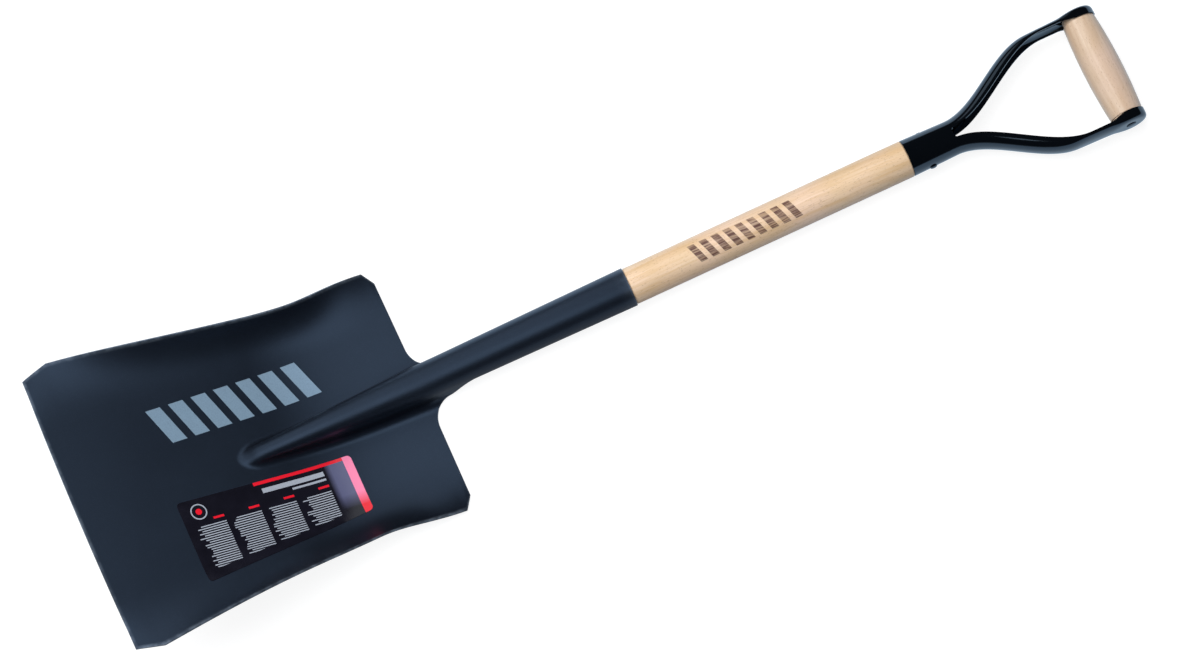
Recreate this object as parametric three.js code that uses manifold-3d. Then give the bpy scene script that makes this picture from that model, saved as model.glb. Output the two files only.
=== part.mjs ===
// A square mouth shovel with a steel D yoke and wooden shaft and grip, lying on its back with its face up.
// Sizes are millimetres. While it is built, x runs along the shaft's axis from the socket's mouth, toward
// the grip, y runs across, and z runs up, out of the blade's face.
import * as THREE from "three";
import { mergeVertices } from "three/addons/utils/BufferGeometryUtils.js";
import Module from "manifold-3d";

const wasm = await Module();
wasm.setup();

const degree = Math.PI / 180;
const quarterTurn = 90 * degree;

// Fits
const clearance = 0.3; // between two pieces that touch
const overrun = 3; // of a cutter past what it cuts

// Grip
const gripVisibleLength = 102.8; // of the wood, between the rims of the two cups
const gripRimRadius = 16; // where the wood meets the cups
const gripMiddleRadius = 18.4;
const gripSeatRadius = 14.8; // of its ends, inside the cups
const gripEdgeRound = 3;

// Yoke
const yokeSheet = 1.6;
const ferruleMouthRadius = 18;
const ferruleThroatRadius = 16.8;
const ferruleLength = 47.2; // from its mouth to the fork between the arms
const forkToGrip = 155.6; // along the shaft, from the fork to the grip's axis
const cupRadius = 17;
const cupDepth = 10; // from a cup's rim to its outer face
const notchHalfWidth = 5;
const notchLength = 3;
const armOuterSweep = 104; // the length along the shaft over which the arms' backs spread
const armInnerSweep = 118; // and over which their open sides do
const armHalfHeight = 14.6; // at the middle of an arm
const armBackLead = 2.2; // the backs start to spread this far before the fork
const armSettle = 1.1; // the last of their spread,
const armSettleSweep = 45; // which they make over this length before the grip's axis
const cupSweep = 20; // the length over which an arm swells into its cup
const lipLift = 3.4; // an arm's lips lie this much farther out than its cup's rim
const armSquareness = 2.3; // exponents of the rounded outlines
const cupSquareness = 6;

// Blade
const bladeSheet = 1.8;
const bladeLength = 350.8; // along the floor of the pan
const rearHalfWidth = 125.8; // of the sheet before its wings are turned up
const mouthHalfWidth = 147.9;
const panFloorShare = 0.55; // of the half width that stays flat between the wings
const wingTurn = 62 * degree; // of a wing's rim where it stands steepest
const wingRiseShare = 0.28; // of the blade's length, over which the wings rise from the rear edge
const wingPeakShare = 0.33; // and from where they fade toward the mouth
const wingFade = 0.75;
const heelDepth = 21; // of the heel's underside under the shaft's axis
const heelFlat = 45; // the level length behind the bend
const heelBendRadius = 240;
const lift = 23.5 * degree; // of the blade's floor over the shaft
const mouthBow = 2;
const mouthBowShare = 0.3; // of the blade's length, over which the bow fades out
const mouthCornerAlong = 24;
const mouthCornerAcross = 10;
const rearCornerAlong = 8;
const rearCornerAcross = 12.5;
const rearSweep = 0.8; // of the rear edge, from its corners to the neck

// Rib on the blade's face, which runs on into the socket
const ribLength = 187.5;
const ribNoseLength = 14;
const ribTipRadius = 7;
const ribCrestRise = 3.7;
const ribFootRadius = 11;
const ribTipFootRadius = 8;

// Neck and socket
const socketMouthRadius = 19.1;
const socketNeckRadius = 17.3;
const socketLength = 216.2; // from its mouth to the blade's rear edge
const neckFilletAlong = 23;
const neckFilletEdge = 42; // where the rear edge starts to turn into the neck, from the middle
const neckFlange = 0.35; // how far the flange still stands out where the sheet starts to roll under
const neckFootRadius = 6;
const footShare = 0.75; // of a flange as it starts to narrow, that its foot takes
const neckRoll = 28; // the length over which it closes into a tube
const seamGap = 0.6;

// Shaft
const shaftRadius = 18;
const shaftLength = 287.5; // of the wood that shows, from socket to ferrule
const shaftInSocket = 178;
const shaftTipRadius = 11.5;
const shaftTipTaper = 24;
const shaftShoulder = 1.2;
const tenonEndGap = 4; // between the tenon's end and the fork
const tenonChamfer = 1.5;

// Fasteners
const gripPinRadius = 3;
const gripPinHeadRadius = 5;
const gripPinHeadHeight = 1.1;
const yokeRivetRadius = 2.6;
const yokeRivetHeadRadius = 3.75;
const yokeRivetHeadHeight = 1.7;
const yokeRivetFromMouth = 19;
const nailRadius = 2;
const nailHeadRadius = 4.2;
const nailHeadHeight = 0.8;
const nailLength = 15;
const nailFromMouth = 32;

// Label on the blade's face
const labelFilm = 0.3;
const labelGap = 0.6; // between the film and the sheet, both of them faceted
const labelFromRear = 92; // along the floor
const labelLength = 169;
const labelRearNear = 30; // its edges' places from the blade's middle, across
const labelRearFar = 86;
const labelMouthNear = 20;
const labelMouthFar = 98;

// Fineness
const aroundShaft = 40;
const aroundPin = 20;
const domeSteps = 4;
const barrelSteps = 10;
const archSteps = 5; // across the blade's right half, from the crest outward
const wallSteps = 1;
const footSteps = 3;
const floorSteps = 2;
const wingSteps = 5;
const frontSteps = 8; // along the blade, from the mouth to the socket
const noseSteps = 5;
const ribSteps = 9;
const heelSteps = 3;
const filletSteps = 6;
const rollSteps = 6;
const socketSteps = 3;
const halfRingSteps = 14; // around and along the yoke
const ferruleSteps = 2;
const notchSteps = 4;
const armSteps = 13;
const cupSteps = 4;
const cupFanSteps = 5;
const labelAlongSteps = 10;
const labelAcrossSteps = 6;
const samePoint = 0.003; // points closer than this share one normal

// Sizes that follow from these
const ferruleMouthAt = shaftLength;
const forkAt = ferruleMouthAt + ferruleLength;
const gripAt = forkAt + forkToGrip;
const cupRimAt = gripVisibleLength / 2;
const cupFaceAt = cupRimAt + cupDepth;
const tenonEndAt = forkAt - tenonEndGap;
const floorAtHeel = bladeSheet / 2 - heelDepth;
const rearAt = -socketLength - rearSweep;
const neckAt = neckFilletAlong - socketLength;
const tubeAt = neckAt + neckRoll;
const yokeRivetAt = ferruleMouthAt + yokeRivetFromMouth;
const neckRadius = socketNeckRadius - bladeSheet / 2;
const evenShare = footSteps / (footSteps + floorSteps + wingSteps);
const nailAt = -nailFromMouth;

// The shovel stands on its heel and its grip, and the heel is level on the ground they share.
const restTilt = Math.atan((heelDepth - gripMiddleRadius) / (gripAt - rearAt));
const bendLength = heelBendRadius * (lift + restTilt);

const steel = new THREE.MeshStandardMaterial({ color: 0x262b35, roughness: 0.55, metalness: 0.6 });
const gloss = new THREE.MeshStandardMaterial({ color: 0x08090c, roughness: 0.12, metalness: 0.3 });
const beech = new THREE.MeshStandardMaterial({ color: 0xdcbb92, roughness: 0.5, metalness: 0 });
const film = new THREE.MeshStandardMaterial({ color: 0x14131c, roughness: 0.2, metalness: 0 });

const mix = (from, to, share) => from + (to - from) * share;
const clamp01 = (value) => Math.min(Math.max(value, 0), 1);
const ease = (value) => {
  const share = clamp01(value);
  return share * share * (3 - 2 * share);
};

// Even steps from one value to the next, without the first.
function stepsTo(list, to, count) {
  const from = list[list.length - 1];
  for (let i = 1; i <= count; i += 1) {
    list.push(mix(from, to, i / count));
  }
  return list;
}

// Solids and meshes
function solidFrom(geometry) {
  const bare = geometry.index ? geometry.toNonIndexed() : geometry.clone();
  const plain = new THREE.BufferGeometry().setAttribute("position", bare.getAttribute("position"));
  const merged = mergeVertices(plain);
  return new wasm.Manifold(
    new wasm.Mesh({
      numProp: 3,
      vertProperties: merged.getAttribute("position").array,
      triVerts: new Uint32Array(merged.index.array),
    }),
  );
}

function geometryFrom(solid) {
  const mesh = solid.getMesh();
  const geometry = new THREE.BufferGeometry();
  geometry.setAttribute("position", new THREE.BufferAttribute(mesh.vertProperties, 3));
  geometry.setIndex(new THREE.BufferAttribute(mesh.triVerts, 1));
  const flat = geometry.toNonIndexed();
  flat.computeVertexNormals();
  return flat;
}

function cut(geometry, cutters) {
  const solid = cutters.reduce((left, cutter) => left.subtract(solidFrom(cutter)), solidFrom(geometry));
  return geometryFrom(solid);
}

function piece(name, geometry, material) {
  const mesh = new THREE.Mesh(geometry, material);
  mesh.name = name;
  return mesh;
}

// A sheet of one thickness over one or more grids of points that are all as wide. Its two skins lie at
// given heights over the grids, along their shared normals. Points may coincide where a grid closes.
function sheetOver(grids, upper, lower) {
  const width = grids[0][0].length;
  const points = grids.flat(2);
  const quads = [];
  let start = 0;
  grids.forEach((rows) => {
    for (let row = 1; row < rows.length; row += 1) {
      for (let column = 1; column < width; column += 1) {
        const here = start + row * width + column;
        quads.push([here - width - 1, here - width, here, here - 1]);
      }
    }
    start += rows.length * width;
  });
  const normals = sharedNormals(points, quads);
  const skin = (height) => points.map((point, i) => point.clone().addScaledVector(normals[i], height));
  const rowCounts = grids.map((rows) => rows.length);
  return { width, quads, rowCounts, outer: skin(upper), inner: skin(lower) };
}

// Point normals over a grid's quads, alike wherever points coincide.
function sharedNormals(points, quads) {
  const keyOf = (point) => point.toArray().map((value) => Math.round(value / samePoint)).join();
  const sums = new Map();
  points.forEach((point) => sums.set(keyOf(point), new THREE.Vector3()));
  quads.forEach((quad) => {
    const [a, b, c, d] = quad.map((index) => points[index]);
    const normal = c.clone().sub(a).cross(d.clone().sub(b));
    new Set([a, b, c, d].map(keyOf)).forEach((key) => sums.get(key).add(normal));
  });
  return points.map((point) => sums.get(keyOf(point)).clone().normalize());
}

// The sheet's closed surface: both skins, and the edge all round each grid. Where the grids start as one
// tube, the rows of that tube have no edge along their sides.
function closeSheet({ width, quads, outer, inner, rowCounts }, { tubeRows = 0, closedEnd = false } = {}) {
  const triangles = [];
  const add = (a, b, c) => {
    if (a.distanceTo(b) && b.distanceTo(c) && c.distanceTo(a)) {
      triangles.push(a, b, c);
    }
  };
  const quad = (a, b, c, d) => {
    const [p, q, r, s] = a.distanceTo(c) > b.distanceTo(d) ? [b, c, d, a] : [a, b, c, d];
    add(p, q, r);
    add(p, r, s);
  };
  const rim = (from, to) => quad(outer[from], inner[from], inner[to], outer[to]);
  quads.forEach((corners) => {
    quad(...corners.map((index) => outer[index]));
    quad(...[...corners].reverse().map((index) => inner[index]));
  });
  let start = 0;
  rowCounts.forEach((rowCount) => {
    const last = start + (rowCount - 1) * width;
    for (let column = 1; column < width; column += 1) {
      rim(start + column - 1, start + column);
      if (!closedEnd) {
        rim(last + column, last + column - 1);
      }
    }
    for (let row = tubeRows + 1; row < rowCount; row += 1) {
      const here = start + row * width;
      rim(here, here - width);
      rim(here - 1, here + width - 1);
    }
    start += rowCount * width;
  });
  return new THREE.BufferGeometry().setFromPoints(triangles);
}

// Follows a chain of arcs and straights in a cross section, from a crest outward. Each link has a length,
// the turn it makes, up being positive, and a count of steps.
function followChain(start, chain) {
  const points = [start];
  let heading = 0;
  let [across, height] = [start.x, start.y];
  chain.forEach(({ length, turn, steps }) => {
    for (let step = 0; step < steps; step += 1) {
      const part = length / steps;
      const bend = turn / steps;
      const chord = bend ? (part * Math.sin(bend / 2)) / (bend / 2) : part;
      across += chord * Math.cos(heading + bend / 2);
      height += chord * Math.sin(heading + bend / 2);
      heading += bend;
      points.push(new THREE.Vector2(across, height));
    }
  });
  return points;
}

// A whole cross section from its right half, set at a place on the floor's line.
function sectionRow(half, place, forward = () => 0) {
  const along = new THREE.Vector3(-Math.cos(place.tilt), 0, Math.sin(place.tilt));
  const up = new THREE.Vector3(Math.sin(place.tilt), 0, Math.cos(place.tilt));
  const set = (across, height) =>
    new THREE.Vector3(place.x, across, place.z)
      .addScaledVector(up, height)
      .addScaledVector(along, forward(across));
  const left = half.slice(1).reverse().map((point) => set(-point.x, point.y));
  return [...left, ...half.map((point) => set(point.x, point.y))];
}

// The floor of the pan, along its middle: level at the heel, then bent up, then straight to the mouth.
function floorPlace(distance) {
  const bend = clamp01((distance - heelFlat) / bendLength);
  const tilt = mix(-restTilt, lift, bend);
  const level = Math.min(distance, heelFlat);
  const straight = Math.max(distance - heelFlat - bendLength, 0);
  return {
    tilt,
    x: rearAt - level * Math.cos(restTilt)
      - heelBendRadius * (Math.sin(tilt) + Math.sin(restTilt)) - straight * Math.cos(tilt),
    z: floorAtHeel - level * Math.sin(restTilt)
      + heelBendRadius * (Math.cos(restTilt) - Math.cos(tilt)) + straight * Math.sin(tilt),
  };
}

function blankHalfWidth(distance) {
  return mix(rearHalfWidth, mouthHalfWidth, distance / bladeLength);
}

function wingTurnAt(distance) {
  const share = distance / bladeLength;
  const rise = Math.sin(clamp01(share / wingRiseShare) * quarterTurn);
  const past = clamp01((share - wingPeakShare) / (1 - wingPeakShare));
  return wingTurn * rise * (1 - past * past) ** wingFade;
}

// The half width left by the corners that are cut off.
function trimmedHalfWidth(distance) {
  const fromMouth = bladeLength - distance;
  const rearCut = rearCornerAcross * clamp01(1 - distance / rearCornerAlong);
  const mouthCut = mouthCornerAcross * clamp01(1 - fromMouth / mouthCornerAlong);
  return blankHalfWidth(distance) - rearCut - mouthCut;
}

const socketRadiusAt = (x) => mix(socketMouthRadius, socketNeckRadius, clamp01(x / neckAt)) - bladeSheet / 2;

function ribAt(distance) {
  const share = clamp01(distance / ribLength);
  const place = floorPlace(distance);
  const crest = neckRadius + ribCrestRise * share;
  const nose = clamp01((distance - ribLength + ribNoseLength) / ribNoseLength);
  return {
    crown: mix(neckRadius, ribTipRadius, share),
    foot: mix(ribFootRadius, ribTipFootRadius, share),
    height: (Math.max(crest - place.z, 0) / Math.cos(place.tilt)) * Math.sqrt(1 - nose * nose),
  };
}

// One row of points across the blade.
function bladeRow(distance) {
  const { crown, foot, height } = ribAt(distance);
  const halfWidth = crown + foot;
  const turn = Math.min(2 * Math.atan(height / halfWidth), quarterTurn);
  const stretch = turn ? turn / Math.sin(turn) : 1;
  const floorHalf = blankHalfWidth(distance) * panFloorShare;
  const reach = trimmedHalfWidth(distance);
  const half = followChain(new THREE.Vector2(0, height), [
    { length: crown * stretch, turn: -turn, steps: archSteps },
    { length: Math.max(height - halfWidth, 0), turn: 0, steps: wallSteps },
    { length: foot * stretch, turn, steps: footSteps },
    { length: floorHalf - halfWidth, turn: 0, steps: floorSteps },
    { length: reach - floorHalf, turn: wingTurnAt(distance), steps: wingSteps },
  ]);
  const bow = mouthBow * clamp01(1 - (bladeLength - distance) / (mouthBowShare * bladeLength)) ** 2;
  return sectionRow(half, floorPlace(distance), (across) => bow * (1 - (across / reach) ** 2));
}

// How far the sheet reaches under the shaft's axis, from the blade's floor to the underside of the tube.
function neckDepthAt(x) {
  return mix(-floorAtHeel, socketRadiusAt(tubeAt), ease((x + socketLength) / (tubeAt + socketLength)));
}

// One row across the neck, where the flange flares out from the arch's walls as far as an edge.
function neckRow(x, edge) {
  const narrowing = ease((x + socketLength) / neckFilletAlong);
  const foot = mix(ribFootRadius, neckFootRadius, narrowing);
  const beside = edge - neckRadius;
  const turn = beside > foot ? quarterTurn : Math.acos(1 - beside / foot);
  const flange = foot * turn + Math.max(beside - foot, 0);
  const bent = Math.min(foot * turn, flange * mix(footShare, evenShare, narrowing));
  const middle = ((flange - bent) * floorSteps) / (floorSteps + wingSteps);
  const rest = flange - bent - middle;
  const turnOf = (length, before) => clamp01((foot * turn - before) / length) * (length / foot);
  return tubeRow(x, neckDepthAt(x) - foot * Math.sin(turn), [
    { length: bent, turn: bent / foot, steps: footSteps },
    { length: middle, turn: turnOf(middle, bent), steps: floorSteps },
    { length: rest, turn: turnOf(rest, bent + middle), steps: wingSteps },
  ]);
}

// One row across the socket, where the sheet is rolled under by a turn.
function rolledRow(x, turn) {
  const length = socketRadiusAt(x) * turn;
  const wall = Math.max(neckDepthAt(x) - socketRadiusAt(x) * Math.sin(turn), 0);
  return tubeRow(x, wall, [{ length, turn: -turn, steps: footSteps + floorSteps + wingSteps }]);
}

function tubeRow(x, wall, links) {
  const radius = socketRadiusAt(x);
  const half = followChain(new THREE.Vector2(0, radius), [
    { length: radius * quarterTurn, turn: -quarterTurn, steps: archSteps },
    { length: wall, turn: 0, steps: wallSteps },
    ...links,
  ]);
  return sectionRow(half, { x, z: 0, tilt: 0 });
}

function bladeRows() {
  const noseAt = ribLength - ribNoseLength;
  const distances = [bladeLength, bladeLength - mouthCornerAlong];
  stepsTo(distances, ribLength, frontSteps);
  for (let i = 1; i <= noseSteps; i += 1) {
    distances.push(noseAt + ribNoseLength * Math.cos((i / noseSteps) * quarterTurn));
  }
  stepsTo(distances, heelFlat, ribSteps);
  stepsTo(distances, rearCornerAlong, heelSteps);
  distances.push(0);
  const rows = distances.map(bladeRow);

  for (let i = 0; i <= filletSteps; i += 1) {
    const angle = (i / filletSteps) * quarterTurn;
    const x = -socketLength + neckFilletAlong * (1 - Math.cos(angle));
    rows.push(neckRow(x, mix(neckFilletEdge, neckRadius + neckFlange, Math.sin(angle))));
  }
  for (let i = 1; i <= rollSteps; i += 1) {
    const x = mix(neckAt, tubeAt, i / rollSteps);
    rows.push(rolledRow(x, shutTurn(x) * (i / rollSteps)));
  }
  stepsTo([tubeAt], 0, socketSteps).slice(1).forEach((x) => rows.push(rolledRow(x, shutTurn(x))));
  return rows;
}

// The turn that closes the tube at x, but for the seam's gap.
function shutTurn(x) {
  return quarterTurn - seamGap / 2 / socketRadiusAt(x);
}

function makeBlade() {
  const sheet = sheetOver([bladeRows()], bladeSheet / 2, -bladeSheet / 2);
  return piece("blade", cut(closeSheet(sheet), [pinAlongZ(nailRadius + clearance, nailAt)]), steel);
}

// Turned pieces, from a profile of axial places and radii, about the x axis.
function turned(profile, around) {
  const points = profile.map(([along, radius]) => new THREE.Vector2(radius, along));
  return new THREE.LatheGeometry(points, around).rotateZ(-quarterTurn);
}

function pinAlongZ(radius, x) {
  const reach = socketMouthRadius + overrun;
  const depth = nailLength + clearance + overrun;
  const geometry = new THREE.CylinderGeometry(radius, radius, depth, aroundPin);
  geometry.rotateX(quarterTurn);
  return geometry.translate(x, 0, depth / 2 - reach);
}

function pinAlongY(radius, x, length) {
  return new THREE.CylinderGeometry(radius, radius, length, aroundPin).translate(x, 0, 0);
}

function ferruleRadiusAt(x) {
  return mix(ferruleMouthRadius, ferruleThroatRadius, clamp01((x - ferruleMouthAt) / ferruleLength));
}

function makeShaft() {
  const inSocket = (x) => socketRadiusAt(x) - bladeSheet / 2 - clearance;
  const inFerrule = (x) => ferruleRadiusAt(x) - yokeSheet - clearance;
  const tipAt = -shaftInSocket;
  const taperAt = tipAt + shaftTipTaper;
  const profile = [
    [tipAt, 0],
    [tipAt, shaftTipRadius - tenonChamfer],
    [tipAt + tenonChamfer, shaftTipRadius],
    [taperAt, inSocket(taperAt)],
    [0, inSocket(0)],
    [clearance, inSocket(0)],
    [clearance + shaftShoulder, shaftRadius],
    [ferruleMouthAt - clearance - shaftShoulder, shaftRadius],
    [ferruleMouthAt - clearance, inFerrule(ferruleMouthAt)],
    [ferruleMouthAt, inFerrule(ferruleMouthAt)],
    [tenonEndAt - tenonChamfer, inFerrule(tenonEndAt)],
    [tenonEndAt, inFerrule(tenonEndAt) - tenonChamfer],
    [tenonEndAt, 0],
  ];
  const rivetHole = pinAlongY(yokeRivetRadius + clearance, yokeRivetAt, 2 * shaftRadius + 2 * overrun);
  const nailHole = pinAlongZ(nailRadius + clearance, nailAt);
  return piece("shaft", cut(turned(profile, aroundShaft), [rivetHole, nailHole]), beech);
}

// The yoke's outer skin, as half rings from an upper lip round the back to a lower lip. Before the fork the
// two half rings join into the ferrule, and behind it their lips are cut back.
function yokeSection(x) {
  const beyond = x - forkAt;
  const back = ease((beyond + armBackLead) / armOuterSweep);
  const settled = ease((x - gripAt + armSettleSweep) / armSettleSweep);
  const open = ease(beyond / armInnerSweep);
  const swell = ease((x - gripAt + cupSweep) / cupSweep);
  const notch = clamp01(beyond / notchLength);
  const cutBack = notchHalfWidth * Math.sqrt(1 - (1 - notch) ** 2) * (1 - open);
  const middle = mix(mix(0, cupRimAt + lipLift, open), cupRimAt, swell);
  const outer = mix(ferruleRadiusAt(x), cupFaceAt - armSettle * (1 - settled), back);
  const slim = ease(beyond / (armOuterSweep / 2));
  const height = mix(mix(ferruleRadiusAt(x), armHalfHeight, slim), cupRadius, swell);
  const squareness = mix(mix(2, armSquareness, slim), cupSquareness, swell);
  return { middle, depth: outer - middle, cutBack, height, squareness };
}

function yokeRow(x, fan, side) {
  const { middle, depth, cutBack, height, squareness } = yokeSection(x);
  const lipAngle = Math.acos((cutBack / depth) ** (squareness / 2));
  const row = [];
  for (let i = 0; i <= halfRingSteps; i += 1) {
    const angle = lipAngle * (1 - (2 * i) / halfRingSteps);
    const rise = Math.sin(angle);
    const z = i === halfRingSteps / 2 ? 0 : height * Math.sign(rise) * Math.abs(rise) ** (2 / squareness);
    const y = middle + (i === 0 || i === halfRingSteps ? cutBack : depth * Math.cos(angle) ** (2 / squareness));
    const flat = fan === quarterTurn ? 0 : z * Math.cos(fan);
    row.push(new THREE.Vector3(x + Math.abs(z) * Math.sin(fan), side * y, flat));
  }
  return row;
}

function yokeStations() {
  const ferrule = stepsTo([ferruleMouthAt], forkAt, ferruleSteps);
  const arm = [forkAt];
  for (let i = 1; i <= notchSteps; i += 1) {
    arm.push(forkAt + notchLength * (1 - Math.cos((i / notchSteps) * quarterTurn)));
  }
  stepsTo(arm, gripAt - cupSweep, armSteps);
  stepsTo(arm, gripAt, cupSteps);
  return { ferrule, arm };
}

// Both halves are one skin, so that the ferrule's walls meet without a step.
function makeYoke() {
  const { ferrule, arm } = yokeStations();
  const stations = [...ferrule, ...arm.slice(1)];
  const halves = [1, -1].map((side) => {
    const rows = stations.map((x) => yokeRow(x, 0, side));
    for (let i = 1; i <= cupFanSteps; i += 1) {
      rows.push(yokeRow(gripAt, (i / cupFanSteps) * quarterTurn, side));
    }
    return side > 0 ? rows.map((row) => row.reverse()) : rows;
  });
  const sheet = sheetOver(halves, 0, -yokeSheet);
  const skin = closeSheet(sheet, { tubeRows: ferrule.length - 1, closedEnd: true });
  const pinHole = pinAlongY(gripPinRadius + clearance, gripAt, 2 * cupFaceAt + 2 * overrun);
  const rivetHole = pinAlongY(yokeRivetRadius + clearance, yokeRivetAt, 2 * shaftRadius + 2 * overrun);
  return piece("yoke", cut(skin, [pinHole, rivetHole]), gloss);
}

// The barrel grip, bored for its pin.
function makeGrip() {
  const endAt = cupFaceAt - yokeSheet - clearance;
  const bore = gripPinRadius + clearance;
  const profile = [
    [-endAt, bore],
    [-endAt, gripSeatRadius - gripEdgeRound],
    [gripEdgeRound - endAt, gripSeatRadius],
    [-cupRimAt, gripSeatRadius],
  ];
  for (let i = 0; i <= barrelSteps; i += 1) {
    const share = (2 * i) / barrelSteps - 1;
    profile.push([(cupRimAt - clearance) * share, mix(gripMiddleRadius, gripRimRadius, share * share)]);
  }
  profile.push([cupRimAt, gripSeatRadius]);
  profile.push([endAt - gripEdgeRound, gripSeatRadius]);
  profile.push([endAt, gripSeatRadius - gripEdgeRound]);
  profile.push([endAt, bore]);
  profile.push([-endAt, bore]);
  const wood = turned(profile, aroundShaft).rotateZ(quarterTurn).translate(gripAt, 0, 0);
  return piece("grip", wood, beech);
}

// A domed head's profile, from its rim to its top on the axis.
function domeProfile(seat, radius, height) {
  const profile = [];
  for (let i = 0; i <= domeSteps; i += 1) {
    const angle = (i / domeSteps) * quarterTurn;
    profile.push([seat + height * Math.sin(angle), i === domeSteps ? 0 : radius * Math.cos(angle)]);
  }
  return profile;
}

// A pin across the shovel with a domed head at each end.
function throughRivet(name, x, radius, seat, headRadius, headHeight) {
  const farEnd = [[seat, radius], ...domeProfile(seat, headRadius, headHeight)];
  const nearEnd = farEnd.map(([along, r]) => [-along, r]).reverse();
  const geometry = turned([...nearEnd, ...farEnd], aroundPin).rotateZ(quarterTurn);
  return piece(name, geometry.translate(x, 0, 0), gloss);
}

function makeNail() {
  const seat = socketRadiusAt(nailAt) + bladeSheet / 2 + clearance / 3;
  const head = domeProfile(seat, nailHeadRadius, nailHeadHeight);
  const tip = seat - nailLength;
  const point = nailRadius * 2;
  const profile = [[tip, 0], [tip + point, nailRadius], [seat, nailRadius], ...head];
  const geometry = turned(profile, aroundPin).rotateY(quarterTurn).translate(nailAt, 0, 0);
  return piece("socket_nail", geometry, steel);
}

// A place on the pan's face, from the distance along the floor and the length across it, over the sheet.
function facePoint(distance, across) {
  const floorHalf = blankHalfWidth(distance) * panFloorShare;
  const wing = Math.max(Math.abs(across) - floorHalf, 0);
  const turn = (wingTurnAt(distance) * wing) / (blankHalfWidth(distance) - floorHalf);
  const chord = turn ? (wing * Math.sin(turn / 2)) / (turn / 2) : wing;
  const y = Math.min(Math.abs(across), floorHalf) + chord * Math.cos(turn / 2);
  const height = chord * Math.sin(turn / 2);
  const place = floorPlace(distance);
  return new THREE.Vector3(
    place.x + height * Math.sin(place.tilt),
    y * Math.sign(across),
    place.z + height * Math.cos(place.tilt),
  );
}

function makeLabel() {
  const rows = [];
  for (let i = 0; i <= labelAlongSteps; i += 1) {
    const share = 1 - i / labelAlongSteps;
    const near = mix(labelRearNear, labelMouthNear, share);
    const far = mix(labelRearFar, labelMouthFar, share);
    const distance = labelFromRear + labelLength * share;
    const row = [];
    for (let j = 0; j <= labelAcrossSteps; j += 1) {
      row.push(facePoint(distance, -mix(near, far, j / labelAcrossSteps)));
    }
    rows.push(row);
  }
  const seat = bladeSheet / 2 + labelGap;
  return piece("product_label", closeSheet(sheetOver([rows], seat + labelFilm, seat)), film);
}

const shovel = new THREE.Group();
shovel.add(
  makeBlade(),
  makeShaft(),
  makeYoke(),
  makeGrip(),
  throughRivet(
    "grip_rivet",
    gripAt,
    gripPinRadius,
    cupFaceAt + clearance,
    gripPinHeadRadius,
    gripPinHeadHeight,
  ),
  throughRivet(
    "yoke_rivet",
    yokeRivetAt,
    yokeRivetRadius,
    ferruleRadiusAt(yokeRivetAt) + clearance / 3,
    yokeRivetHeadRadius,
    yokeRivetHeadHeight,
  ),
  makeNail(),
  makeLabel(),
);

// The origin is the middle of the ground under the shovel's box.
shovel.rotation.y = restTilt;
const box = new THREE.Box3().setFromObject(shovel, true);
const centre = box.getCenter(new THREE.Vector3());
shovel.position.set(-centre.x, -centre.y, -box.min.z);

export default shovel;
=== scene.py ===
import math
from functools import reduce

import bmesh
import bpy
import numpy as np
from mathutils import Matrix, Vector


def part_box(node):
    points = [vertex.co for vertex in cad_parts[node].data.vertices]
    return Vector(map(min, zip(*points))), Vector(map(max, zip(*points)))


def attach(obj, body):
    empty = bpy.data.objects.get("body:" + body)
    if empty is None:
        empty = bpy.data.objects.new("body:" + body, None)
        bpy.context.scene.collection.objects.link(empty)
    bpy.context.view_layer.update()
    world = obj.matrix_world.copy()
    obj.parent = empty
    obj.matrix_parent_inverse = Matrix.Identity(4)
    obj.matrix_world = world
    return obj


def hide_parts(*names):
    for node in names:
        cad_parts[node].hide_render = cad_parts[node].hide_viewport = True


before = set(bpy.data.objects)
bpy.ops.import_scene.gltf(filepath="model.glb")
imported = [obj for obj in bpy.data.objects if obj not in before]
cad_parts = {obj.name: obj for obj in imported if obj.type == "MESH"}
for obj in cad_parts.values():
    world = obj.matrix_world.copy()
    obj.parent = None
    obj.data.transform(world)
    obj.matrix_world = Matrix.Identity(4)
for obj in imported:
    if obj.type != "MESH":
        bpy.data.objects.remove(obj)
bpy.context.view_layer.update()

# Meshes are made in millimetres: x along the shaft's axis from the socket's mouth, y across, and z out of
# the blade's face. placeInRow then takes them to the row's metres.
degree = math.pi / 180
quarterTurn = 90 * degree
millimetre = 0.001
sameWithin = 0.002  # points nearer than this are one

scene = bpy.context.scene

overall = {
    "clearance": 0.3,
    "heelDepth": 21.0,  # of the heel's underside under the shaft's axis
    "rearAt": -217.0,  # of the blade's rear edge
    "gripAt": 490.3,
    "gripRadius": 18.4,
}
overall["restTilt"] = math.atan(
    (overall["heelDepth"] - overall["gripRadius"]) / (overall["gripAt"] - overall["rearAt"])
)


def rowMatrix():
    low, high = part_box("grip")
    middle = (low + high) / 2
    tilt = overall["restTilt"]
    reach = overall["gripAt"] * millimetre
    shift = Vector((middle.x - reach * math.cos(tilt), middle.y, middle.z + reach * math.sin(tilt)))
    turn = Matrix.Rotation(tilt, 4, "Y")
    return Matrix.Translation(shift) @ turn @ Matrix.Scale(millimetre, 4)


placeInRow = rowMatrix()


# Small helpers
def mix(start, end, share):
    return start + (end - start) * share


def clamp01(value):
    return min(max(value, 0.0), 1.0)


def ease(value):
    share = clamp01(value)
    return share * share * (3 - 2 * share)


def stepsTo(places, end, count):
    return places + [mix(places[-1], end, i / count) for i in range(1, count + 1)]


def quarterSteps(count, first=1):
    return [i / count * quarterTurn for i in range(first, count + 1)]


def tone(red, green, blue):
    levels = []
    for value in (red, green, blue):
        level = value / 255
        levels.append(level / 12.92 if level <= 0.04045 else ((level + 0.055) / 1.055) ** 2.4)
    return (*levels, 1.0)


def link(start, end):
    end.id_data.links.new(start, end)


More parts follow.
